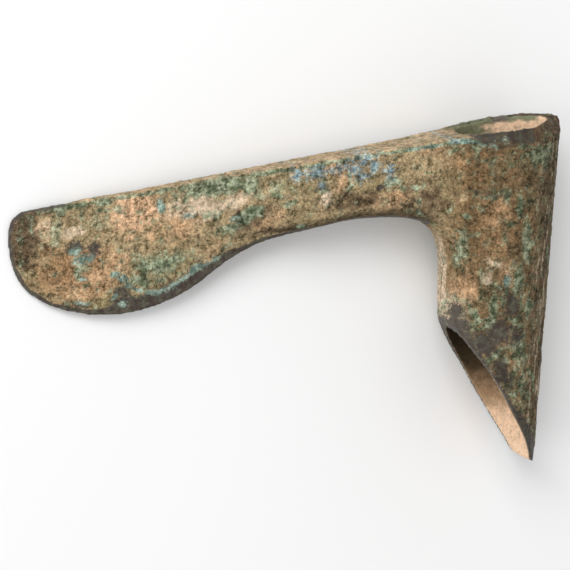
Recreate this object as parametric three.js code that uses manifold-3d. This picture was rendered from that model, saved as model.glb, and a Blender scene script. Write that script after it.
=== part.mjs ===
// A cast bronze shaft-hole axe head: a tapered tubular socket, cut off obliquely at its foot,
// and a long arm that grows out of the socket's mouth and widens into a drop-shaped blade.
//
// Sizes are in millimetres. The axe is shaped upright and then laid down:
//   upright   Z runs up the socket's axis, which crosses the mouth near the origin.
//             The blade reaches out along -X, and Y is the thickness.
//   laid down +Z is up. The axe lies on the socket's side and on the tip of the cutting edge,
//             with the blade towards -X and the socket's mouth towards +Y.
//             The origin is the middle of the bounding box's underside, on the ground.
import * as THREE from "three";
import { mergeVertices } from "three/addons/utils/BufferGeometryUtils.js";
import Module from "manifold-3d";

const wasm = await Module();
wasm.setup();

const degrees = THREE.MathUtils.degToRad;
const { clamp, lerp, smoothstep } = THREE.MathUtils;
const up = new THREE.Vector3(0, 0, 1);

// Socket
const mouthRadius = 14.9; // outer radius at the mouth
const socketTaper = 0.028; // radius lost for each millimetre down the socket
const boreRadius = 11.1; // the haft hole at the mouth
const boreTaper = 0.003;
const socketTop = 10; // the tube is drawn past its mouth and its foot, and trimmed
const socketBottom = -100;
const socketSides = 72;

// The oblique foot, seen from the side: nearly straight, and blunt at its point
const footPoints = [
  [-22, -36.5],
  [-13.4, -48.5],
  [-8.2, -55.5],
  [-3.3, -62.2],
  [0.8, -68.7],
  [5.1, -75.6],
  [8.6, -81.6],
  [10.4, -85.3],
  [13.2, -86.7],
  [20, -87.2],
];

// The back: one plane trims the socket's mouth and the whole length of the arm and blade
const backTilt = degrees(10.1); // it rises towards the socket
const backHeight = -0.12; // where it crosses the socket's axis
const backAllowance = 0.4; // left on the arm until the plane trims it

// Wear on the rim of the mouth: one facet, on the side that faces up when the axe lies
const rimWearSlope = degrees(31);
const rimWearStart = 11.3; // distance from the axis at which the facet starts

// The underside of blade and arm, seen from the side: from the rounded tip along the cutting edge
// and the neck, and down into the socket
const undersidePoints = [
  [-121.3, -21.3],
  [-124.3, -24.3],
  [-125.0, -28.6],
  [-123.8, -35.2],
  [-120.4, -40.9],
  [-114.0, -44.9],
  [-105.0, -47.1],
  [-95.5, -47.0],
  [-86.5, -44.7],
  [-77.5, -40.1],
  [-69.0, -33.7],
  [-60.5, -29.3],
  [-49.0, -26.5],
  [-38.5, -24.1],
  [-27.5, -23.4],
  [-20.0, -24.7],
  [-15.6, -28.4],
  [-13.2, -38.0],
];
const tipX = -124.98; // the first section of the blade, just inside its tip
const armRoot = 3; // the last section of the arm, inside the socket

// Half of the arm's width, seen from above: a slim wedge that runs into the socket
const planPoints = [
  [-126, 1.0],
  [-104, 1.45],
  [-86, 2.2],
  [-70, 3.5],
  [-52, 5.5],
  [-36, 6.8],
  [-24, 8.1],
  [-14, 9.4],
  [-8, 8.4],
  [0, 4.0],
  [4, 1.0],
];

// How the sides close towards the underside. `bevel` is the share of the width that the flat bevel
// of the cutting edge takes, and `rounding` and `power` are how far and how fully the sides swell.
const edgeHalf = 0.3; // half of the worn thickness of the cutting edge
const bladeBelly = { rounding: 13, power: 1.35, bevel: 0.5 };
const neckBelly = { rounding: 6.5, power: 2, bevel: 0 };
const neckSpan = [-78, -44]; // the sharp edge turns into the neck's rounded underside along here
const bevelWidths = [1.4, 5]; // at the tip and on the belly,
const bevelSpan = [-114, -88]; // and where it grows from one to the other

// Blend between arm and socket
const filletReach = 8;
const filletFade = [-38, -26]; // it fades out between these heights, under the arm
const filletSink = 0.3; // keeps the arm's own surface under the socket's, away from the blend
const leastReach = 0.01;

// Rest
const socketSeat = 0.15; // shaved off the side of the socket, so that it rests on a narrow flat
const bladeSeat = 0.1; // and off the blade, where it touches the ground

// How finely the arm is drawn
const armSections = 84;
const sectionCrowding = 1.25; // above 1, the sections stand closer at the tip
const bellyShares = [0.04, 0.12, 0.25, 0.42, 0.65, 0.95]; // rows on the rounding of the belly
const bodyRows = 7; // rows from there to the back
const curveSamples = 400;

const coneAngle = Math.atan(socketTaper);
const socketRadiusAt = (z) => mouthRadius + socketTaper * z;
const vectors = (points) => points.map(([x, y]) => new THREE.Vector2(x, y));
const smooth = (points, samples = curveSamples) => new THREE.SplineCurve(vectors(points)).getPoints(samples);
const underside = smooth(undersidePoints);
const plan = smooth(planPoints);
const outline = [
  new THREE.Vector2(armRoot + 1, (armRoot + 1) * Math.tan(backTilt) + backAllowance),
  ...underside,
  new THREE.Vector2(armRoot + 1, underside.at(-1).y),
];

// Half of the arm's width at x, without its blend into the socket.
function planHalf(x) {
  const k = plan.findIndex((point) => point.x >= x);
  const share = (x - plan[k - 1].x) / (plan[k].x - plan[k - 1].x);
  return lerp(plan[k - 1].y, plan[k].y, share);
}

// Lowest and highest point of the side view's outline at x.
function spanAt(x) {
  const crossings = [];
  for (let k = 0; k < outline.length; k += 1) {
    const a = outline[k];
    const b = outline[(k + 1) % outline.length];
    if (a.x <= x !== b.x <= x) crossings.push(lerp(a.y, b.y, (x - a.x) / (b.x - a.x)));
  }
  return [Math.min(...crossings), Math.max(...crossings)];
}

// Distance in the side view to the cutting edge and the underside.
function edgeDistance(x, z) {
  let best = Infinity;
  for (let k = 1; k < underside.length; k += 1) {
    const a = underside[k - 1];
    const dx = underside[k].x - a.x;
    const dz = underside[k].y - a.y;
    const along = clamp(((x - a.x) * dx + (z - a.y) * dz) / (dx * dx + dz * dz), 0, 1);
    best = Math.min(best, Math.hypot(x - a.x - along * dx, z - a.y - along * dz));
  }
  return best;
}

// The shape of the belly at x, between the blade's and the neck's.
function bellyAt(x) {
  const neck = smoothstep(x, ...neckSpan);
  return {
    bevelWidth: lerp(...bevelWidths, smoothstep(x, ...bevelSpan)) * (1 - neck),
    bevel: lerp(bladeBelly.bevel, neckBelly.bevel, neck),
    rounding: lerp(bladeBelly.rounding, neckBelly.rounding, neck),
    power: lerp(bladeBelly.power, neckBelly.power, neck),
  };
}

// The larger of two values, rounded over where they are within `reach` of each other.
function smoothMax(a, b, reach) {
  return Math.max(a, b) + Math.max(reach - Math.abs(a - b), 0) ** 2 / (4 * reach);
}

// Half of the thickness of arm, blade and socket at a point of the side view.
function halfThickness(x, z) {
  const { bevelWidth, bevel, rounding, power } = bellyAt(x);
  const distance = edgeDistance(x, z);
  const onBevel = bevelWidth > 0 ? clamp(distance / bevelWidth, 0, 1) : 1;
  const onSide = clamp((distance - bevelWidth) / rounding, 0, 1);
  const swell = (1 - (1 - onSide) ** power) ** (1 / power);
  const arm = lerp(edgeHalf, planHalf(x), bevel * onBevel + (1 - bevel) * swell);
  const radius = socketRadiusAt(z) - filletSink;
  const socket = Math.abs(x) < radius ? Math.sqrt(radius * radius - x * x) : radius - Math.abs(x);
  return smoothMax(arm, socket, filletReach * smoothstep(z, ...filletFade) + leastReach);
}

// How far above `low` a point of the side view lies at the given distance from the edge.
function heightAbove(x, low, high, distance) {
  const halvings = 24;
  let [near, far] = [low, high];
  for (let k = 0; k < halvings; k += 1) {
    const middle = (near + far) / 2;
    if (edgeDistance(x, middle) < distance) near = middle;
    else far = middle;
  }
  return near - low;
}

// Heights of the rows of the section at x. The lower ones follow the bevel and the belly's rounding.
function rowHeights(x) {
  const [low, high] = spanAt(x);
  const { bevelWidth, rounding } = bellyAt(x);
  const distances = [0, 0.5 * bevelWidth, bevelWidth];
  for (const share of bellyShares) distances.push(bevelWidth + share * rounding);
  const rows = distances.length + bodyRows;
  const heights = distances.map((distance, k) => {
    const room = (high - low) * Math.sqrt((k + 1) / (rows + 1)); // where a low section is crowded
    return low + Math.min(heightAbove(x, low, high, distance), room);
  });
  const top = heights.at(-1);
  for (let k = 1; k <= bodyRows; k += 1) heights.push(lerp(top, high, k / bodyRows));
  return heights;
}

// A closed geometry as a solid that can be joined and cut.
function solid(geometry) {
  const tolerance = 1e-4;
  geometry.deleteAttribute("normal");
  geometry.deleteAttribute("uv");
  const merged = mergeVertices(geometry, tolerance);
  return new wasm.Manifold(
    new wasm.Mesh({
      numProp: 3,
      vertProperties: new Float32Array(merged.attributes.position.array),
      triVerts: new Uint32Array(merged.index.array),
    }),
  );
}

function geometryOf(manifold) {
  const { vertProperties, triVerts } = manifold.getMesh();
  const geometry = new THREE.BufferGeometry();
  geometry.setAttribute("position", new THREE.BufferAttribute(new Float32Array(vertProperties), 3));
  geometry.setIndex(new THREE.BufferAttribute(new Uint32Array(triVerts), 1));
  return geometry;
}

// A round solid on the Z axis, whose radius grows upwards from `radius` at the origin's height.
function cone(radius, taper, bottom, top) {
  const corners = [[0, bottom], [radius + taper * bottom, bottom], [radius + taper * top, top], [0, top]];
  return solid(new THREE.LatheGeometry(vectors(corners), socketSides).rotateX(Math.PI / 2));
}

// Everything beyond a plane, as a large box that lies on it.
function beyondPlane(point, direction) {
  const size = 400;
  const geometry = new THREE.BoxGeometry(size, size, size).translate(0, 0, size / 2);
  geometry.applyQuaternion(new THREE.Quaternion().setFromUnitVectors(up, direction));
  return solid(geometry.translate(...point));
}

// What the oblique foot leaves off the tube: everything under its line.
function belowFoot() {
  const samples = 54;
  const bottom = socketBottom - mouthRadius;
  const under = [[footPoints.at(-1)[0], bottom], [footPoints[0][0], bottom]];
  const shape = new THREE.Shape([...smooth(footPoints, samples), ...vectors(under)]);
  const depth = 3 * mouthRadius;
  const geometry = new THREE.ExtrudeGeometry(shape, { depth, bevelEnabled: false });
  return solid(geometry.translate(0, 0, -depth / 2).rotateX(Math.PI / 2));
}

// The arm and blade: upright sections along X, each with its two sides, its back and its edge.
function armAndBlade() {
  const positions = [];
  let rows = 0;
  for (let i = 0; i <= armSections; i += 1) {
    const x = lerp(tipX, armRoot, (i / armSections) ** sectionCrowding);
    const heights = rowHeights(x);
    rows = heights.length;
    for (const z of heights) positions.push(x, -halfThickness(x, z), z);
    for (const z of heights) positions.push(x, halfThickness(x, z), z);
  }
  const near = (i, j) => 2 * i * rows + j;
  const far = (i, j) => near(i, j) + rows;
  const index = [];
  const quad = (a, b, c, d) => index.push(a, b, c, a, c, d);
  const last = rows - 1;
  for (let i = 0; i < armSections; i += 1) {
    for (let j = 0; j < last; j += 1) {
      quad(near(i, j), near(i + 1, j), near(i + 1, j + 1), near(i, j + 1));
      quad(far(i, j), far(i, j + 1), far(i + 1, j + 1), far(i + 1, j));
    }
    quad(near(i, 0), far(i, 0), far(i + 1, 0), near(i + 1, 0));
    quad(near(i, last), near(i + 1, last), far(i + 1, last), far(i, last));
  }
  for (let j = 0; j < last; j += 1) {
    quad(near(0, j), near(0, j + 1), far(0, j + 1), far(0, j));
    quad(near(armSections, j), far(armSections, j), far(armSections, j + 1), near(armSections, j + 1));
  }
  const geometry = new THREE.BufferGeometry();
  geometry.setAttribute("position", new THREE.Float32BufferAttribute(positions, 3));
  geometry.setIndex(index);
  return solid(geometry);
}

function uprightAxe() {
  const backUp = new THREE.Vector3(-Math.sin(backTilt), 0, Math.cos(backTilt));
  const wearOut = backUp.clone().applyAxisAngle(new THREE.Vector3(1, 0, 0), rimWearSlope);
  return cone(mouthRadius, socketTaper, socketBottom, socketTop)
    .subtract(belowFoot())
    .add(armAndBlade())
    .subtract(cone(boreRadius, boreTaper, socketBottom, socketTop))
    .subtract(beyondPlane([0, 0, backHeight], backUp))
    .subtract(beyondPlane([0, -rimWearStart, backHeight], wearOut));
}

// The turn about the socket's axis that brings the blade's lowest point down to a level surface
// at the given distance from the axis, once the socket lies on its side.
function leanOf(geometry, depth) {
  const { position } = geometry.attributes;
  const point = new THREE.Vector3();
  let lean = Math.PI;
  for (let k = 0; k < position.count; k += 1) {
    point.fromBufferAttribute(position, k);
    const reach = Math.hypot(point.x, point.y);
    const level = (depth + point.z * Math.sin(coneAngle)) / Math.cos(coneAngle);
    if (reach > 2 * mouthRadius) {
      lean = Math.min(lean, Math.atan2(-point.x, point.y) - Math.acos(level / reach));
    }
  }
  return lean;
}

// Lays the axe down on its far side and shaves it flat where it touches the ground.
function lyingAxe() {
  const upright = uprightAxe();
  const depth = mouthRadius * Math.cos(coneAngle) - socketSeat;
  const lean = leanOf(geometryOf(upright), depth + bladeSeat);
  const outward = new THREE.Vector3(-Math.sin(lean), Math.cos(lean), 0);
  const across = outward.clone().cross(up);
  const down = outward.clone().applyAxisAngle(across, -coneAngle);
  const along = up.clone().applyAxisAngle(across, -coneAngle);
  const ground = down.clone().multiplyScalar(depth);
  const seated = geometryOf(upright.subtract(beyondPlane(ground.toArray(), down)));
  const axes = new THREE.Matrix4().makeBasis(across, along, down.clone().negate());
  seated.applyMatrix4(axes.transpose());
  seated.computeBoundingBox();
  const { min, max } = seated.boundingBox;
  return seated.translate(-(min.x + max.x) / 2, -(min.y + max.y) / 2, -min.z);
}

const bronze = new THREE.MeshStandardMaterial({ color: 0x8c6c4a, roughness: 0.85, metalness: 0.2 });
const axe = new THREE.Mesh(lyingAxe(), bronze);
axe.name = "axe_head";

const group = new THREE.Group();
group.add(axe);
export default group;
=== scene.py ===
"""Looks of a cast bronze shaft-hole axe head, buried long enough to carry a thick crust.

The casting is one piece. Its CAD solid gives the form. Here it gets the relief of the crust (grit,
pits, flakes, worn edges) as mesh, and its colours: tan soil, verdigris, azurite and bare dark metal.

Two frames are used. The row's frame has the axe lying on its side, in metres. The axe's own frame
has it upright, in millimetres: Z runs up the socket's axis from its mouth, the blade reaches out
along -X, and the side that faces up when it lies faces -Y. Patches are placed in the axe's frame.
"""

import math

import bmesh
import bpy
import numpy as np
from mathutils import Matrix, Vector, noise


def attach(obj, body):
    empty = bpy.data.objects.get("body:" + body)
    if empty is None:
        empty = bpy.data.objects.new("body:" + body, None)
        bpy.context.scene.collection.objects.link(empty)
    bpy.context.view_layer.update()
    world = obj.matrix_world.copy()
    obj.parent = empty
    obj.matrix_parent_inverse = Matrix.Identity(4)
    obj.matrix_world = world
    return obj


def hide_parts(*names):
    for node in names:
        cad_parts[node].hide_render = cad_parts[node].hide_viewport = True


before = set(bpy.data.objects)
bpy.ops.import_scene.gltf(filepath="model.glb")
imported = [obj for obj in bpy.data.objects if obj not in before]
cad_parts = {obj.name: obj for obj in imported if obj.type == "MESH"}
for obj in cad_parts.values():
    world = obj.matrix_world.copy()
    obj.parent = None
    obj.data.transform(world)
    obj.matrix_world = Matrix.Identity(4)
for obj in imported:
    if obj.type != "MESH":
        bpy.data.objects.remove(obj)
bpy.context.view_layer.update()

MM = 0.001
UP = Vector((0, 0, 1))

# The axe's form, in its own frame
SOCKET_TAPER = 0.028  # radius lost for each millimetre down the socket
BORE_RADIUS = 11.1
BACK_TILT = math.radians(10.1)  # the back rises towards the socket
BACK_HEIGHT = -0.12  # where it crosses the socket's axis
EDGE_LINE = [  # the cutting edge from the tip, and the underside of the neck to the socket
    (-112.0, -19.6), (-121.3, -21.3), (-124.3, -24.3), (-125.0, -28.6), (-123.8, -35.2),
    (-120.4, -40.9), (-114.0, -44.9), (-105.0, -47.1), (-95.5, -47.0), (-86.5, -44.7),
    (-77.5, -40.1), (-69.0, -33.7), (-60.5, -29.3), (-49.0, -26.5), (-38.5, -24.1),
    (-27.5, -23.4), (-20.0, -24.7), (-15.6, -28.4),
]
FOOT_SLOPE = math.radians(57)  # of the oblique cut across the socket's foot

# How it lies: turned about the socket's axis until the blade's edge comes down to the ground
LEAN = math.radians(6.185)
MOUTH = Vector((54.66, 42.01, 14.74))  # the middle of the mouth, in the row's frame, in millimetres

# The camera, as it stands to the upright axe
VIEW_AZIMUTH = math.radians(-18.04)
VIEW_ELEVATION = math.radians(8.38)
VIEW_ROLL = math.radians(2.19)
VIEW_DISTANCE = 750
VIEW_TARGET = Vector((-51.54, 10.31, -41.77))
VIEW_LENS = 189.5
SENSOR_WIDTH = 36

VOXEL = 0.475  # size of the faces of the relief, in millimetres


def laid_axes():
    """The laid axe's X, Y and Z as rows, in the axe's own frame."""
    outward = Vector((-math.sin(LEAN), math.cos(LEAN), 0))
    across = outward.cross(UP)
    turn = Matrix.Rotation(-math.atan(SOCKET_TAPER), 3, across)
    return Matrix((across, turn @ UP, -(turn @ outward)))


LAID = laid_axes()


def to_row(point):
    """A point of the axe's frame in the row's frame, in metres."""
    return (LAID @ Vector(point) + MOUTH) * MM


# ---------------------------------------------------------------- noise and masks


def smoothstep(low, high, value):
    t = np.clip((value - low) / (high - low), 0, 1)
    return t * t * (3 - 2 * t)


def cloud(points, size, octaves=1, seed=0, stretch=(1, 1, 1)):
    """Smooth noise from about -1 to 1, in blobs of about `size` millimetres."""
    shift = Vector((17.1, 5.3, 9.7)) * (seed + 1)
    scaled = points / (size * np.array(stretch))
    return np.array([noise.fractal(Vector(p) + shift, 1.0, 2.0, octaves) for p in scaled])


def cells(points, size, seed=0):
    """Distance to the nearest of a scatter of points about `size` apart, in shares of `size`,
    and a number from 0 to 1 for each of them."""
    shift = Vector((7.7, 3.1, 12.9)) * (seed + 1)
    distance = np.empty(len(points))
    share = np.empty(len(points))
    for k, p in enumerate(points / size):
        distances, nearest = noise.voronoi(Vector(p) + shift)
        distance[k] = distances[0]
        share[k] = math.modf(abs(nearest[0].x * 12.9898 + nearest[0].y * 78.233) * 43.7)[0]
    return distance, share


def patch(points, x, z, half_x, half_z, turn=0, strength=1.0):
    """`strength` in the middle of an ellipse in the side view, 0 on its rim and less outside."""
    c, s = math.cos(math.radians(turn)), math.sin(math.radians(turn))
    dx, dz = points[:, 0] - x, points[:, 2] - z
    along, aside = dx * c + dz * s, dz * c - dx * s
    return strength * (1 - np.hypot(along / half_x, aside / half_z))


def line_distance(points, line):
    """Distance to an open line in the side view."""
    flat = points[:, [0, 2]]
    best = np.full(len(points), np.inf)
    for start, end in zip(line, line[1:]):
        a = np.array(start, float)
        d = np.array(end, float) - a
        along = np.clip(((flat - a) @ d) / (d @ d), 0, 1)
        best = np.minimum(best, np.linalg.norm(flat - a - along[:, None] * d, axis=1))
    return best


def stroke(points, line, width, strength=1.0):
    """`strength` on a line in the side view, 0 at `width` from it and less outside."""
    return strength * (1 - line_distance(points, line) / width)


def union(fields):
    """The strongest of the fields at each point, and never less than -1."""
    return np.maximum(np.max(fields, axis=0), -1)


def confine(field, share):
    """A mineral's strength where share is 1, and -1, which is none of it, where share is 0."""
    return field * share - (1 - share)


def polygon_distance(points, corners):
    """Distance to a closed outline in the side view, below 0 inside it."""
    x, z = points[:, 0], points[:, 2]
    inside = np.zeros(len(points), bool)
    for (x0, z0), (x1, z1) in zip(corners, corners[1:] + corners[:1]):
        crosses = (z0 <= z) != (z1 <= z)
        at = x0 + (z - z0) * (x1 - x0) / (z1 - z0 if z1 != z0 else 1)
        inside ^= crosses & (x < at)
    distance = line_distance(points, corners + corners[:1])
    return np.where(inside, -distance, distance)


def linear(colour):
    """A colour of a paint chart, from 0 to 255, as the linear light that a shader takes."""
    share = np.array(colour) / 255
    return np.where(share > 0.04045, ((share + 0.055) / 1.055) ** 2.4, share / 12.92)


# ---------------------------------------------------------------- where each mineral lies

# Each patch: x, z, half its length and height, its turn in degrees, and its strength
VERDIGRIS_PATCHES = [
    (-74.5, -15.7, 10.5, 2.3, 9, 1.3),
    (-66.0, -15.0, 3.0, 2.6, 20, 1.1),
    (-101.8, -19.4, 2.6, 1.1, 9, 1.3),
    (-112.2, -21.4, 1.0, 1.7, 0, 1.2),
    (-87.5, -34.6, 8.5, 3.0, 10, 0.7),
    (-92.5, -38.5, 4.0, 2.2, -10, 0.75),
    (-66.5, -22.4, 4.8, 1.8, 34, 1.3),
    (-70.5, -25.8, 4.0, 1.5, 24, 0.7),
    (-56.0, -19.5, 2.2, 1.1, 30, 0.7),
    (-30.7, -13.7, 2.6, 1.4, 20, 1.4),
    (-12.0, -30.5, 1.3, 5.5, 0, 0.75),
    (-11.9, -21.8, 1.1, 0.9, 0, 1.2),
    (0.6, -19.0, 1.2, 3.6, 5, 0.9),
    (3.0, -28.0, 1.5, 6.5, 5, 0.9),
    (1.4, -37.5, 1.8, 4.5, 0, 0.95),
    (5.4, -6.0, 5.0, 4.2, 0, 0.9),
    (0.8, -2.6, 2.4, 0.9, 0, 1.0),
    (4.6, -44.5, 1.2, 3.5, 0, 1.1),
    (-8.6, -46.5, 1.0, 4.5, 30, 0.8),
    (2.6, -55.0, 2.4, 5.5, 10, 0.8),
    (4.5, -64.0, 1.6, 5.0, 10, 0.7),
    (-4.7, -45.0, 1.2, 5.5, 0, 0.8),
]
PALE_PATCHES = [
    (-113.4, -27.0, 1.5, 4.2, -4, 1.1),
    (-59.5, -15.5, 2.6, 2.0, 20, 0.8),
    (-104.0, -24.5, 2.5, 1.5, 10, 0.5),
    (-63.5, -17.5, 1.6, 1.4, 0, 0.6),
]
TEAL_PATCHES = [
    (-87.9, -20.3, 1.1, 1.9, 15, 1.2),
    (-98.6, -37.0, 1.8, 0.9, 10, 1.4),
    (-96.8, -38.0, 1.4, 1.5, -40, 1.1),
    (-106.8, -33.3, 2.6, 1.3, 15, 1.1),
    (-108.8, -31.6, 1.6, 1.0, 0, 0.6),
    (-10.0, -2.9, 3.5, 0.5, 0, 0.8),
    (-6.4, -2.2, 1.2, 0.5, 10, 0.8),
    (-3.4, -1.6, 0.9, 0.4, 0, 0.7),
    (-106.4, -38.2, 1.4, 0.6, -5, 1.3),
    (-78.2, -35.7, 1.9, 1.2, 35, 1.4),
    (-98.3, -42.6, 1.0, 0.8, 30, 0.8),
    (-96.2, -44.2, 1.2, 1.0, 40, 0.8),
    (-106.5, -44.2, 2.6, 0.6, -4, 0.7),
    (-1.6, -37.6, 1.0, 2.0, 0, 0.9),
    (-22.0, -5.0, 6.5, 0.5, 9, 0.7),
    (-13.0, -3.3, 4.5, 0.7, 4, 1.1),
    (-80.5, -22.6, 2.4, 0.8, 15, 0.6),
    (-69.5, -23.5, 1.6, 0.8, 40, 0.7),
]
TEAL_LINE = [  # along the top of the bevel
    (-95.4, -39.8), (-91.0, -41.6), (-87.0, -41.4), (-83.3, -39.7), (-78.0, -36.0), (-72.0, -32.8),
]
AZURITE_PATCHES = [
    (-54.6, -12.2, 1.5, 1.9, 30, 0.8),
    (-49.6, -11.6, 3.2, 1.5, 8, 0.8),
    (-46.0, -11.0, 1.8, 1.1, 20, 0.6),
    (-48.4, -15.0, 1.3, 1.0, 0, 0.8),
    (-43.6, -10.4, 2.2, 0.9, 20, 0.4),
    (-40.2, -10.6, 1.8, 1.8, 10, 0.8),
    (-37.6, -8.0, 2.8, 1.4, 10, 0.6),
    (-35.2, -10.0, 1.8, 1.7, 0, 0.8),
    (-38.0, -12.6, 1.6, 1.2, 20, 0.7),
    (-31.2, -11.0, 1.6, 1.8, 0, 0.6),
    (-15.2, -3.3, 1.0, 0.5, 0, 1.0),
]
BARE_PATCHES = [
    (-96.4, -41.6, 2.6, 1.8, -30, 1.2),
    (-95.6, -43.8, 4.2, 1.9, 4, 1.3),
    (-108.6, -30.6, 2.4, 2.0, 0, 1.0),
    (-103.9, -30.6, 1.6, 2.2, 10, 0.9),
    (-106.5, -44.6, 2.8, 0.8, -5, 1.0),
    (-33.6, -15.1, 1.4, 0.8, 10, 1.1),
    (0.2, -43.6, 2.3, 3.2, 10, 1.1),
    (-2.6, -50.5, 3.6, 3.6, 20, 1.0),
    (-6.0, -53.5, 3.2, 3.6, 30, 1.1),
    (1.6, -51.5, 2.0, 3.0, 0, 0.8),
    (-12.2, -46.6, 1.2, 3.0, 0, 1.1),
    (-11.6, -49.3, 2.4, 1.9, -35, 1.3),
    (-1.2, -61.0, 2.0, 5.0, 30, 0.9),
    (-7.5, -16.2, 2.6, 0.7, 0, 0.4),
]
BARE_FOOT = [  # along the oblique cut of the foot
    (-11.0, -51.5), (-8.2, -56.9), (-4.7, -61.9), (-0.6, -68.2), (4.2, -73.2), (7.5, -77.0),
    (9.6, -80.5), (11.4, -85.0),
]

# Colours under the minerals, as red, green and blue from 0 to 255: soil, painted shade and a painted
# highlight
SOIL_TAN = (164, 143, 109)
SOIL_ORANGE = (190, 154, 118)
SOIL_APRICOT = (214, 174, 138)
SOIL_RUST = (154, 122, 88)
SOIL_PINK = (216, 192, 164)
SOIL_SAND = (188, 162, 131)
# worn metal with a painted highlight, not soil
WORN_SILVER_HIGHLIGHT = (186, 180, 178)
SOIL_OLIVE = (134, 120, 86)
SOIL_UMBER = (126, 102, 72)
SOIL_BROWN = (104, 86, 64)
SOIL_RUSSET = (104, 80, 64)
SOIL_CHALK = (206, 184, 158)
SOIL_PEACH = (244, 208, 176)
# painted shade, not soil: laid under the arm and halfway down the bore
PAINTED_SHADE_BROWN = (78, 64, 44)
SOIL_MOSS = (132, 134, 106)
SOIL_LEAD = (104, 98, 90)
SOIL_PATCHES = [  # colour, then a patch
    (SOIL_RUST, (-109.0, -37.0, 12.0, 9.0, -15, 1.0)),
    (SOIL_APRICOT, (-94.0, -22.0, 7.5, 6.0, 10, 1.0)),
    (SOIL_PINK, (-79.0, -21.0, 9.0, 3.6, 10, 1.0)),
    (SOIL_PINK, (-69.5, -18.8, 5.5, 2.0, 15, 1.0)),
    (SOIL_ORANGE, (-84.0, -25.5, 6.0, 3.6, 10, 0.6)),
    (SOIL_PINK, (-109.8, -26.8, 3.4, 1.8, 10, 0.9)),
    (SOIL_ORANGE, (-103.0, -37.5, 5.5, 2.6, 0, 0.8)),
    (SOIL_ORANGE, (-108.0, -41.5, 7.0, 2.0, -14, 0.7)),
    # worn top corner of the blade, lightened as a painted highlight
    (WORN_SILVER_HIGHLIGHT, (-118.6, -20.9, 4.0, 0.8, 10, 1.4)),
    (SOIL_OLIVE, (-87.5, -34.6, 8.5, 3.4, 10, 0.9)),
    (SOIL_OLIVE, (-100.5, -44.2, 5.0, 2.2, 0, 0.9)),
    (SOIL_BROWN, (-121.5, -29.5, 5.5, 9.5, -10, 1.1)),
    (SOIL_BROWN, (-117.0, -21.8, 6.5, 1.6, 8, 0.9)),
    (SOIL_SAND, (-115.5, -26.0, 3.4, 2.6, -40, 0.8)),
    (SOIL_CHALK, (-47.0, -17.8, 1.7, 2.4, 0, 1.3)),
    (SOIL_ORANGE, (-36.5, -18.8, 5.5, 1.8, 6, 0.7)),
    (SOIL_ORANGE, (-28.5, -17.5, 3.4, 2.4, 0, 0.6)),
    (SOIL_BROWN, (-40.0, -18.6, 7.0, 2.6, 8, 0.7)),
    (SOIL_BROWN, (-21.5, -18.5, 6.0, 6.0, 0, 0.5)),
    (SOIL_BROWN, (-65.0, -23.0, 6.0, 3.0, 28, 0.7)),
    (SOIL_RUST, (-5.4, -24.0, 4.8, 9.5, 0, 1.0)),
    (SOIL_ORANGE, (-4.6, -19.0, 2.2, 5.0, 0, 0.6)),
    (SOIL_RUST, (-8.0, -9.0, 9.0, 4.0, 6, 0.6)),
    (SOIL_ORANGE, (-10.6, -41.0, 2.2, 5.5, 0, 0.9)),
    (SOIL_CHALK, (-5.0, -33.6, 1.8, 1.4, 20, 0.4)),
    (SOIL_CHALK, (-6.4, -36.6, 1.3, 1.8, 0, 0.4)),
    (SOIL_ORANGE, (-1.6, -36.0, 1.6, 4.0, 0, 0.5)),
]

# Damage to the crust: pits (x, z, radius), cracks (lines), and a place where a flake is gone
PITS = [
    (-112.4, -25.0, 0.9), (-110.2, -23.4, 0.9), (-108.2, -24.0, 1.0), (-107.2, -22.8, 0.7),
    (-109.6, -22.0, 0.7), (-101.8, -24.2, 1.0), (-100.2, -22.9, 0.8), (-100.9, -26.2, 0.9),
    (-102.9, -20.9, 0.7), (-86.2, -30.4, 0.8), (-83.8, -31.4, 0.9), (-81.9, -30.0, 0.7),
    (-98.4, -33.2, 0.8), (-93.6, -35.3, 0.8), (-90.3, -38.6, 0.9), (-86.4, -39.0, 0.8),
    (-83.0, -37.2, 0.8), (-118.4, -32.4, 1.1), (-118.0, -35.2, 0.9), (-107.4, -37.6, 0.7),
    (-60.4, -14.4, 0.8), (-52.6, -20.6, 0.8), (-71.0, -12.9, 0.5), (-24.6, -10.2, 0.8),
]
CRACKS = [
    [(-53.2, -12.4), (-51.4, -13.6), (-48.6, -13.1), (-46.0, -13.4), (-43.2, -11.6), (-41.0, -10.3)],
    [(-50.2, -21.4), (-47.6, -21.5), (-46.2, -20.4)],
    [(-42.6, -17.4), (-41.4, -16.6), (-40.6, -15.4), (-37.5, -16.4), (-34.0, -16.3), (-28.4, -14.8)],
    [(-116.0, -29.8), (-115.0, -31.4), (-113.8, -32.0), (-111.6, -32.4)],
    [(-80.5, -19.6), (-82.6, -22.0), (-84.4, -22.2)],
    [(-36.4, -13.4), (-34.2, -12.0), (-30.6, -11.6), (-27.2, -10.6)],
]
LOST_FLAKE = [
    (-46.7, -15.9), (-44.8, -16.9), (-42.4, -17.2), (-41.0, -16.0), (-41.2, -17.8),
    (-42.8, -19.4), (-44.4, -20.8), (-46.4, -20.6),
]


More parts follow.
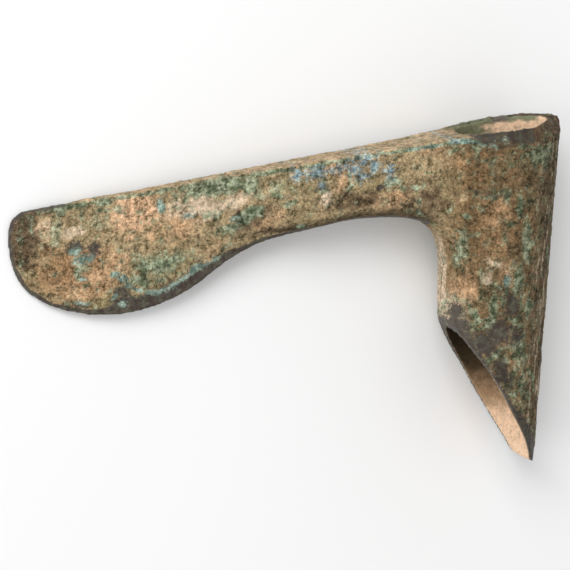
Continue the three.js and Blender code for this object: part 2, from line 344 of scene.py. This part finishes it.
def shapes_of(points, normals):
    """Where a point lies on the casting's form: the parts of it that the crust treats differently."""
    x, y, z = points.T
    back_up = np.array((-math.sin(BACK_TILT), 0, math.cos(BACK_TILT)))
    foot_out = np.array((-math.sin(FOOT_SLOPE), 0, -math.cos(FOOT_SLOPE)))
    radius = np.hypot(x, y)
    inward = -(normals[:, :2] * points[:, :2]).sum(axis=1) / np.maximum(radius, 1)
    below_back = (BACK_HEIGHT + x * math.tan(BACK_TILT) - z) * math.cos(BACK_TILT)
    upward = normals @ back_up
    rim = smoothstep(0.3, 0.7, upward) * smoothstep(-11, -8.5, x) * smoothstep(4.5, 3.5, below_back)
    foot = smoothstep(0.5, 0.8, normals @ foot_out) * smoothstep(-40, -46, z)
    return {
        "near": smoothstep(0.75, 0.45, normals[:, 1]),
        "edge": line_distance(points, EDGE_LINE),
        "below_back": below_back,
        "back": smoothstep(0.6, 0.9, upward),
        "rim": rim,
        "underneath": smoothstep(-0.35, -0.8, normals[:, 2]) * smoothstep(-16, -22, x),
        "bore": smoothstep(BORE_RADIUS + 0.6, BORE_RADIUS + 0.3, radius) * smoothstep(0.0, 0.4, inward),
        "socket": smoothstep(-20, -12, x),
        "cut": foot * smoothstep(11.0, 11.25, radius),
        "facet": np.where(y < -6.5, 1 - below_back / lip_width(x), -1),
    }


ARRIS_DEPTH = 0.8  # below the back, how deep the green line along its rim lies
BEVEL_REACH = 6  # no bevel is wider


def bevel_width(x):
    """Width of the bare dark band along the edge: narrow round the tip, widest on the belly."""
    places = (-125, -112, -102, -96, -92, -87, -80, -74, -68, -62, -50, -30, -15)
    widths = (0.9, 1.1, 1.6, 3.2, 4.2, 4.4, 4.3, 3.2, 2.2, 1.4, 1.0, 1.2, 1.0)
    return np.interp(x, places, widths)


def lip_width(x):
    """Height of the dark facet along the near side of the mouth."""
    return np.interp(x, (-15, -11, -6, -2, 2, 4, 6), (0.1, 0.4, 0.9, 1.5, 2.0, 1.6, 0.1))


def minerals_of(points, shapes):
    """How strongly each mineral grows: above 0 it shows."""
    near = shapes["near"]
    hidden = 1 - near
    outside = 1 - shapes["bore"]
    x = points[:, 0]
    ragged = cloud(points, 1.5, 3, seed=1)
    broad = cloud(points, 6.0, 2, seed=2)
    blotch = cloud(points, 2.4, 3, seed=3)

    def placed(patches, seed, *more):
        """Patches on the near side, and chance ones on the hidden side, both with ragged rims."""
        shown = union([patch(points, *p) for p in patches] + list(more))
        chance = 1.5 * cloud(points, 7.0, 2, seed=seed) - 0.45
        field = near * shown + hidden * chance
        return confine(field, outside) + 0.45 * ragged

    strength = {
        "verdigris": placed(VERDIGRIS_PATCHES, 11),
        "pale": placed(PALE_PATCHES, 12),
        "teal": placed(TEAL_PATCHES, 13, stroke(points, TEAL_LINE, 0.7, 0.55)),
        "azurite": placed(AZURITE_PATCHES, 14),
        "bare": placed(BARE_PATCHES, 15, stroke(points, BARE_FOOT, 1.9, 1.2)),
    }
    spots = blotch + 0.5 * broad - 0.38
    arris = 1 - np.abs(shapes["below_back"] - ARRIS_DEPTH) / ARRIS_DEPTH
    arris = arris * near * (1 - shapes["back"]) * smoothstep(-122, -112, x) * smoothstep(-8, -14, x)
    line = 0.8 * arris + 0.5 * blotch - 0.1
    halo = 0.45 - 1.6 * np.abs(strength["bare"] + 0.15)
    halo = confine(halo, near * shapes["socket"]) + 0.6 * blotch
    grown = np.maximum.reduce([strength["verdigris"], spots, line, halo])
    strength["verdigris"] = confine(grown, outside)

    band = 1 - shapes["edge"] / bevel_width(x)
    band = np.where((shapes["edge"] < BEVEL_REACH) & (x < -19), 2.5 * band, -1) + 0.3 * ragged
    facet = 1.5 * np.minimum(shapes["facet"], 0.6) + 0.8 * ragged - 0.3
    facet = confine(facet, smoothstep(-13, -10, x) * smoothstep(5.5, 3.5, x) * near)
    cut = 2 * shapes["cut"] * np.maximum(smoothstep(-68, -72, points[:, 2]), hidden) - 1
    bare = np.maximum.reduce([strength["bare"], band, facet, cut])
    strength["bare"] = confine(bare, outside)
    return strength


def ground_layers(points, shapes, ragged):
    """Soil over the whole casting: broad changes of tone, then the placed patches."""
    wander = cloud(points, 9.0, 2, seed=31)
    yield 0.75 * smoothstep(0.1, 0.6, wander), SOIL_ORANGE
    yield 0.6 * smoothstep(0.1, 0.6, -wander), SOIL_OLIVE
    yield shapes["socket"] * smoothstep(-0.6, 0.3, ragged + 0.3), SOIL_UMBER
    for colour, place in SOIL_PATCHES:
        yield shapes["near"] * smoothstep(-0.15, 0.5, patch(points, *place) + 0.5 * ragged), colour


def streak_layers(points, shapes):
    """Pale and brown streaks down the socket's two silhouettes."""
    x, y, z = points.T
    streaks = cloud(points, 1.0, 2, seed=33, stretch=(1, 1, 8))
    behind = smoothstep(3.5, 8, x)
    yield behind * smoothstep(-0.7, 0.1, streaks), SOIL_BROWN
    yield 0.7 * behind * smoothstep(0.15, 0.5, streaks), SOIL_CHALK
    before = shapes["socket"] * smoothstep(-11, -13, x) * smoothstep(-3.4, -2.4, y)
    before = before * smoothstep(-25, -29, z)
    yield 0.9 * before * smoothstep(-0.9, -0.2, streaks), SOIL_CHALK


def rim_layers(points, shapes, ragged):
    """Soil on the back and on the rim of the mouth, and painted shade on the underside of the arm."""
    x, y, _ = points.T
    rim = shapes["rim"]
    yield shapes["back"] * smoothstep(-0.6, 0.1, ragged), SOIL_SAND
    # painted shade: the underside of the arm made dark brown
    yield shapes["underneath"] * 0.9, PAINTED_SHADE_BROWN
    yield rim, SOIL_BROWN
    yield rim * smoothstep(0, 3, y) * smoothstep(5, 0, x), SOIL_MOSS
    yield rim * smoothstep(2, 4, x) * smoothstep(8, 6, x) * smoothstep(-2, 2, y), SOIL_LEAD
    lip = smoothstep(3.6, 2.8, shapes["below_back"]) * smoothstep(3.5, 5, x) * (1 - shapes["bore"])
    yield lip * smoothstep(0.4, -0.2, ragged), SOIL_RUSSET


def bore_layers(points, shapes, ragged):
    """The film of soil in the bore, with painted shade halfway down it, and the near face of the cut.
    """
    x, y, z = points.T
    bore = shapes["bore"]
    yield bore, SOIL_PEACH
    yield bore * smoothstep(4.5, -1.5, x + 4 * ragged) * smoothstep(-30, -10, z), SOIL_MOSS
    far_lip = bore * smoothstep(0, 4, y) * smoothstep(1.5, 0.9, shapes["below_back"] + 0.4 * ragged)
    yield far_lip, SOIL_MOSS
    yield far_lip * smoothstep(1, 3, x) * smoothstep(7, 5, x), SOIL_LEAD
    # painted shade down the bore: rust-brown away from its two ends, then dark brown in its middle
    deep = smoothstep(-4, -9, z) * smoothstep(-76, -71, z + 1.5 * ragged)
    yield 0.8 * bore * deep, SOIL_RUST
    yield bore * smoothstep(-6, -14, z) * smoothstep(-71, -61, z + 1.5 * ragged), PAINTED_SHADE_BROWN
    yield shapes["cut"] * shapes["near"] * smoothstep(-71, -67, z), SOIL_CHALK


def soil_of(points, shapes):
    """The soil's colour at each point, in linear light. Every layer covers the ones before it."""
    ragged = cloud(points, 2.2, 3, seed=32)
    layers = [
        *ground_layers(points, shapes, ragged),
        *streak_layers(points, shapes),
        *rim_layers(points, shapes, ragged),
        *bore_layers(points, shapes, ragged),
    ]
    soil = np.tile(linear(SOIL_TAN), (len(points), 1))
    for share, colour in layers:
        share = np.clip(share, 0, 1)[:, None]
        soil = soil * (1 - share) + linear(colour) * share
    return soil


def smooth_of(points, shapes):
    """Where the soil is a smooth film, as in the bore: 1 there and 0 on the gritty crust."""
    film = union([patch(points, *place) for colour, place in SOIL_PATCHES if colour == SOIL_PINK])
    film = 0.6 * shapes["near"] * smoothstep(0, 0.5, film)
    return np.maximum.reduce([shapes["bore"], film, 0.5 * shapes["back"], 0.8 * shapes["cut"]])


def dim_of(points, shapes):
    """Where the crust is darkened, over all its colours: on the near side of the socket."""
    x, z = points[:, 0], points[:, 2]
    darkening = shapes["socket"] * shapes["near"] * (1 - shapes["bore"]) * smoothstep(-13.5, -11, x)
    return darkening * smoothstep(-0.7, 0.3, cloud(points, 5.0, 2, seed=35) + smoothstep(-20, -6, z))


LIP_WEAR = 2.3  # lost from the near lip of the mouth
LIP_FADE = 7  # how far below the back the lip's wear reaches
NOTCH_WEAR = 0.5  # lost besides in a shallow notch in that lip
NOTCH_MIDDLE = 5.0  # the notch's place along X
NOTCH_HALF = 3.4  # half its length
TIP_HEIGHT = -83.8  # the foot's tip is worn below here
TIP_WEAR = 0.3  # share of the tip's length that is lost


def wear_of(points, shapes):
    """How far a point has worn down along the socket's axis: the near lip of the mouth and the tip."""
    x, y, z = points.T
    below_back = shapes["below_back"]
    outward = smoothstep(BORE_RADIUS + 0.5, 14.5, np.hypot(x, y))
    lip = outward * smoothstep(-12, -6, x) * smoothstep(-1, -5, y)
    lip = LIP_WEAR * lip * smoothstep(LIP_FADE, 0, below_back) * smoothstep(-1.5, -0.5, below_back)
    notch = NOTCH_WEAR * smoothstep(NOTCH_HALF, 0, np.abs(x - NOTCH_MIDDLE))
    notch = notch * smoothstep(-5, -8, y) * smoothstep(3, 0, below_back)
    tip = TIP_WEAR * np.maximum(TIP_HEIGHT - z, 0)
    return lip + notch - tip


# How far each part of the relief stands out (or, for the last four, sinks in), in millimetres
SWELL_HEIGHT = 0.16
LUMP_HEIGHT = 0.14
GRIT_HEIGHT = 0.17
GROWTH_HEIGHT = 0.06
PIT_DEPTH = 0.32
BARE_DEPTH = 0.14
CRACK_DEPTH = 0.3
FLAKE_DEPTH = 0.35


def relief_of(points, shapes, minerals):
    """How far the surface stands out from the CAD form, in millimetres, and the part of it that
    is crust, from about -1 in its pits to 1 on its grains, for painted shade and highlights."""
    near = shapes["near"]
    bare = smoothstep(-0.1, 0.35, minerals["bare"])
    crust = (1 - 0.75 * bare) * (1 - 0.7 * shapes["bore"])
    swell = cloud(points, 11.0, 1, seed=21)
    lumps = cloud(points, 3.4, 2, seed=22)
    grit = cloud(points, 1.2, 2, seed=23)
    ragged = cloud(points, 1.1, 2, seed=26)
    distance, share = cells(points, 2.6, seed=24)
    pits = smoothstep(0.42, 0.12, distance) * smoothstep(0.62, 0.7, share)
    placed = union([patch(points, x, z, r, r) for x, z, r in PITS]) + 0.5 * ragged
    pits = np.maximum(pits, near * smoothstep(0.0, 0.5, placed))
    cracks = np.min([line_distance(points, line) for line in CRACKS], axis=0) + 0.3 * ragged
    cracks = near * smoothstep(0.45, 0.1, cracks)
    flake = near * smoothstep(0.3, -0.3, polygon_distance(points, LOST_FLAKE) + 0.5 * ragged)
    growth = sum(smoothstep(0, 0.4, minerals[name]) for name in ("verdigris", "teal", "azurite"))
    texture = 0.9 * lumps + 1.3 * grit - 1.2 * pits - cracks - flake
    rough = LUMP_HEIGHT * lumps + GRIT_HEIGHT * grit - PIT_DEPTH * pits
    height = SWELL_HEIGHT * swell + crust * rough
    height += GROWTH_HEIGHT * np.minimum(growth, 1) - BARE_DEPTH * bare * near
    height -= CRACK_DEPTH * cracks + FLAKE_DEPTH * flake
    return height, np.clip(crust * texture, -1, 1)


# ---------------------------------------------------------------- the casting


def even_mesh(piece):
    """Turns the piece's mesh into small even faces, with its sharp edges worn a little."""
    whole = bmesh.new()
    whole.from_mesh(piece.data)
    bmesh.ops.remove_doubles(whole, verts=whole.verts, dist=0.001 * MM)
    whole.to_mesh(piece.data)
    whole.free()
    remesh = piece.modifiers.new("even_faces", "REMESH")
    remesh.mode = "VOXEL"
    remesh.voxel_size = VOXEL * MM
    wear = piece.modifiers.new("worn_edges", "SMOOTH")
    wear.factor = 0.5
    wear.iterations = 2
    depsgraph = bpy.context.evaluated_depsgraph_get()
    mesh = bpy.data.meshes.new_from_object(piece.evaluated_get(depsgraph))
    piece.modifiers.clear()
    piece.data = mesh
    mesh.shade_smooth()


def read_points(mesh):
    values = np.empty(len(mesh.vertices) * 3, np.float32)
    mesh.vertices.foreach_get("co", values)
    return values.reshape(-1, 3).astype(float)


def read_normals(mesh):
    values = np.empty(len(mesh.vertices) * 3, np.float32)
    mesh.vertex_normals.foreach_get("vector", values)
    return values.reshape(-1, 3).astype(float)


def keep_field(mesh, name, values):
    attribute = mesh.attributes.new(name, "FLOAT", "POINT")
    attribute.data.foreach_set("value", values.astype(np.float32))


def keep_colour(mesh, name, colours):
    attribute = mesh.attributes.new(name, "FLOAT_COLOR", "POINT")
    opaque = np.column_stack((colours, np.ones(len(colours))))
    attribute.data.foreach_set("color", opaque.astype(np.float32).ravel())


def make_casting():
    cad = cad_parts["axe_head"]
    piece = bpy.data.objects.new("axe_head_cast", cad.data.copy())
    bpy.context.scene.collection.objects.link(piece)
    even_mesh(piece)
    mesh = piece.data
    turn = np.array(LAID)
    rest = read_points(mesh)
    normals = read_normals(mesh)
    points = (rest / MM - np.array(MOUTH)) @ turn
    shapes = shapes_of(points, normals @ turn)
    minerals = minerals_of(points, shapes)
    height, crust = relief_of(points, shapes, minerals)
    moved = rest + normals * (height * MM)[:, None]
    moved -= wear_of(points, shapes)[:, None] * MM * turn[:, 2]
    moved[:, 2] = np.maximum(moved[:, 2], 0)
    mesh.vertices.foreach_set("co", moved.astype(np.float32).ravel())
    mesh.update()
    for name, values in minerals.items():
        keep_field(mesh, name, values)
    # the crust's relief, which the shader turns into painted shade in pits and painted highlights on
    # grains
    keep_field(mesh, "crust", crust)
    keep_colour(mesh, "soil", soil_of(points, shapes))
    keep_field(mesh, "smooth", smooth_of(points, shapes))
    keep_field(mesh, "dim", dim_of(points, shapes))
    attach(piece, "root")
    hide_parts("axe_head")
    return piece


# ---------------------------------------------------------------- materials


class Shader:
    """Short names for the nodes of one material."""

    def __init__(self, name):
        self.material = bpy.data.materials.new(name)
        self.material.use_nodes = True
        self.nodes = self.material.node_tree.nodes
        self.links = self.material.node_tree.links
        self.surface = self.nodes["Principled BSDF"]
        self.place = self.nodes.new("ShaderNodeTexCoord").outputs["Object"]

    def feed(self, socket, value):
        if isinstance(value, bpy.types.NodeSocket):
            self.links.new(value, socket)
        else:
            socket.default_value = value

    def attribute(self, name, output):
        node = self.nodes.new("ShaderNodeAttribute")
        node.attribute_name = name
        return node.outputs[output]

    def cloud(self, size, detail=2.0, roughness=0.5):
        """Noise from 0 to 1, in blobs of about `size` millimetres."""
        node = self.nodes.new("ShaderNodeTexNoise")
        node.inputs["Scale"].default_value = 1 / (size * MM)
        node.inputs["Detail"].default_value = detail
        node.inputs["Roughness"].default_value = roughness
        self.feed(node.inputs["Vector"], self.place)
        return node.outputs["Fac"]

    def grains(self, size):
        """Rounded grains about `size` millimetres apart: 0 in the middle of each and 1 between them."""
        node = self.nodes.new("ShaderNodeTexVoronoi")
        node.inputs["Scale"].default_value = 1 / (size * MM)
        self.feed(node.inputs["Vector"], self.place)
        return node.outputs["Distance"]

    def sum(self, *terms):
        """Adds up pairs of a socket and its weight, and lone numbers."""
        constant = math.fsum(term for term in terms if not isinstance(term, tuple))
        total = constant
        for value, weight in (term for term in terms if isinstance(term, tuple)):
            node = self.nodes.new("ShaderNodeMath")
            node.operation = "MULTIPLY_ADD"
            self.feed(node.inputs[0], value)
            self.feed(node.inputs[1], weight)
            self.feed(node.inputs[2], total)
            total = node.outputs[0]
        return total

    def step(self, value, low, high, top=1.0):
        node = self.nodes.new("ShaderNodeMapRange")
        node.interpolation_type = "SMOOTHSTEP"
        node.inputs["From Min"].default_value = low
        node.inputs["From Max"].default_value = high
        node.inputs["To Max"].default_value = top
        self.feed(node.inputs["Value"], value)
        return node.outputs["Result"]

    def ramp(self, value, *stops):
        node = self.nodes.new("ShaderNodeValToRGB")
        elements = node.color_ramp.elements
        while len(elements) < len(stops):
            elements.new(0.5)
        for element, (place, colour) in zip(elements, stops):
            element.position = place
            element.color = (*colour, 1)
        self.feed(node.inputs["Fac"], value)
        return node.outputs["Color"]

    def mix(self, share, under, over, way="MIX"):
        """Mixes two colours. Sockets 0, 6 and 7 of the node are its share and its two colours."""
        node = self.nodes.new("ShaderNodeMix")
        node.data_type = "RGBA"
        node.blend_type = way
        for k, value in ((0, share), (6, under), (7, over)):
            self.feed(node.inputs[k], value)
        return node.outputs[2]

    def between(self, share, low, high):
        """A number from low to high."""
        node = self.nodes.new("ShaderNodeMapRange")
        node.inputs["To Min"].default_value = low
        node.inputs["To Max"].default_value = high
        self.feed(node.inputs["Value"], share)
        return node.outputs["Result"]


# Each mineral: its deeper and lighter tone, from 0 to 255, the share of the soil that it hides,
# and how much its rim breaks up into grains
MINERALS = {
    "pale": ((152, 150, 116), (178, 178, 148), 0.8, 2.0),
    "verdigris": ((76, 94, 70), (164, 174, 146), 0.85, 2.0),
    "bare": ((60, 50, 46), (80, 77, 66), 0.97, 2.6),
    "teal": ((96, 116, 106), (154, 172, 158), 1.0, 3.0),
    "azurite": ((100, 126, 140), (164, 184, 184), 1.0, 4.5),
}

MINERAL_STARTS = -0.15  # a mineral begins to show at this strength, once noise has broken it up
MINERAL_COVERS = 0.45  # and hides all that it can from this strength on

# What a place's height in the crust does to its colour: painted shade in a pit, a painted highlight on
# a grain
SHADES = (
    (0.02, (0.10, 0.12, 0.08)),
    (0.26, (0.40, 0.42, 0.35)),
    (0.48, (0.92, 0.92, 0.90)),
    (0.70, (1.30, 1.30, 1.28)),
    (0.98, (2.00, 2.02, 2.06)),
)

SOCKET_DARKENING = (0.66, 0.65, 0.62)  # what the darkening on the socket leaves of each colour
BUMP_HEIGHT = 0.3  # of the grain that is too fine for the mesh, in millimetres


def minerals_over(shader, soil):
    """The soil with each mineral laid over the ones before it, and the share of bare metal."""
    rim = shader.cloud(0.55, 4, 0.75)
    hue = shader.cloud(1.7, 2, 0.5)
    colour = soil
    shares = {}
    for name, (deep, light, cover, dither) in MINERALS.items():
        growth = shader.sum((shader.attribute(name, "Fac"), 1.0), (rim, dither), -dither / 2)
        shares[name] = shader.step(growth, MINERAL_STARTS, MINERAL_COVERS, cover)
        tint = shader.mix(shader.step(hue, 0.35, 0.65), (*linear(deep), 1), (*linear(light), 1))
        colour = shader.mix(shares[name], colour, tint)
    return colour, shares["bare"]


def make_patina():
    """Soil over corroded bronze, with painted shade in the crust's hollows and painted highlights on
    grains.
    """
    shader = Shader("patinated_bronze")
    crust = shader.attribute("crust", "Fac")
    smooth = shader.attribute("smooth", "Fac")
    dim = shader.attribute("dim", "Fac")
    colour, bare = minerals_over(shader, shader.attribute("soil", "Color"))
    fine = shader.cloud(0.3, 3, 0.65)
    medium = shader.cloud(0.8, 3, 0.6)
    height = shader.sum((fine, 1.6), (medium, 0.85), (shader.grains(0.75), -0.5), -0.91)
    rough = shader.sum((smooth, -0.65), (shader.between(bare, 1.0, 0.65), 1.0))
    # the crust's own mottling, with painted shade in its pits and cracks and painted highlights on its
    # grains
    tone = shader.sum((height, rough), (crust, 0.22), 0.52)
    colour = shader.mix(1.0, colour, shader.ramp(tone, *SHADES), "MULTIPLY")
    darkening = shader.ramp(dim, (0, (1, 1, 1)), (1, SOCKET_DARKENING))
    colour = shader.mix(1.0, colour, darkening, "MULTIPLY")
    shader.feed(shader.surface.inputs["Base Color"], colour)
    shader.feed(shader.surface.inputs["Roughness"], shader.between(bare, 0.95, 0.5))
    shader.surface.inputs["Specular IOR Level"].default_value = 0.3

    bump = shader.nodes.new("ShaderNodeBump")
    bump.inputs["Distance"].default_value = BUMP_HEIGHT * MM
    shader.feed(bump.inputs["Strength"], shader.between(bare, 1.0, 0.3))
    shader.feed(bump.inputs["Height"], height)
    shader.feed(shader.surface.inputs["Normal"], bump.outputs["Normal"])
    return shader.material


FLOOR_HALF = 3.0
FLOOR_GREY = 0.94


def make_floor():
    """A plain pale floor."""
    mesh = bpy.data.meshes.new("floor")
    corners = [(i * FLOOR_HALF, j * FLOOR_HALF, 0) for i, j in ((-1, -1), (1, -1), (1, 1), (-1, 1))]
    mesh.from_pydata(corners, [], [(0, 1, 2, 3)])
    floor = bpy.data.objects.new("floor", mesh)
    bpy.context.scene.collection.objects.link(floor)
    shader = Shader("pale_floor")
    shader.surface.inputs["Base Color"].default_value = (FLOOR_GREY, FLOOR_GREY, FLOOR_GREY, 1)
    shader.surface.inputs["Roughness"].default_value = 0.9
    mesh.materials.append(shader.material)


# ---------------------------------------------------------------- camera and light


def view_axes():
    """The camera's right, up and back, in the axe's frame."""
    level = math.cos(VIEW_ELEVATION)
    height = math.sin(VIEW_ELEVATION)
    back = Vector((math.sin(VIEW_AZIMUTH) * level, -math.cos(VIEW_AZIMUTH) * level, height))
    right = UP.cross(back).normalized()
    roll = Matrix.Rotation(VIEW_ROLL, 3, back)
    return roll @ right, roll @ back.cross(right), back


def make_camera():
    right, up, back = view_axes()
    data = bpy.data.cameras.new("camera")
    data.lens = VIEW_LENS
    data.sensor_width = SENSOR_WIDTH
    camera = bpy.data.objects.new("camera", data)
    bpy.context.scene.collection.objects.link(camera)
    turn = LAID @ Matrix((right, up, back)).transposed()
    place = to_row(VIEW_TARGET + back * VIEW_DISTANCE)
    camera.matrix_world = Matrix.Translation(place) @ turn.to_4x4()
    bpy.context.scene.camera = camera


SKY_STRENGTH = 0.6
SOFTBOXES = [  # name, azimuth and elevation in degrees, distance and size in metres, watts
    ("key", 130, 42, 1.3, 0.7, 9.0),
    ("side", 185, 18, 1.2, 0.6, 5.0),
]


def make_softbox(name, azimuth, elevation, distance, size, watts):
    """A square light that faces the axe. Azimuth 0 is towards the row's +X and 90 towards its +Y."""
    turn = math.radians(azimuth)
    rise = math.radians(elevation)
    level = math.cos(rise)
    towards = Vector((math.cos(turn) * level, math.sin(turn) * level, math.sin(rise)))
    data = bpy.data.lights.new(name, "AREA")
    data.size = size
    data.energy = watts
    light = bpy.data.objects.new(name, data)
    bpy.context.scene.collection.objects.link(light)
    light.location = to_row(VIEW_TARGET) + towards * distance
    light.rotation_mode = "QUATERNION"
    light.rotation_quaternion = towards.to_track_quat("Z", "Y")


def make_light():
    world = bpy.data.worlds.new("studio")
    world.use_nodes = True
    background = world.node_tree.nodes["Background"]
    background.inputs["Color"].default_value = (1, 1, 1, 1)
    background.inputs["Strength"].default_value = SKY_STRENGTH
    bpy.context.scene.world = world
    for softbox in SOFTBOXES:
        make_softbox(*softbox)
    bpy.context.scene.view_settings.view_transform = "Standard"


casting = make_casting()
casting.data.materials.clear()
casting.data.materials.append(make_patina())
make_floor()
make_camera()
make_light()
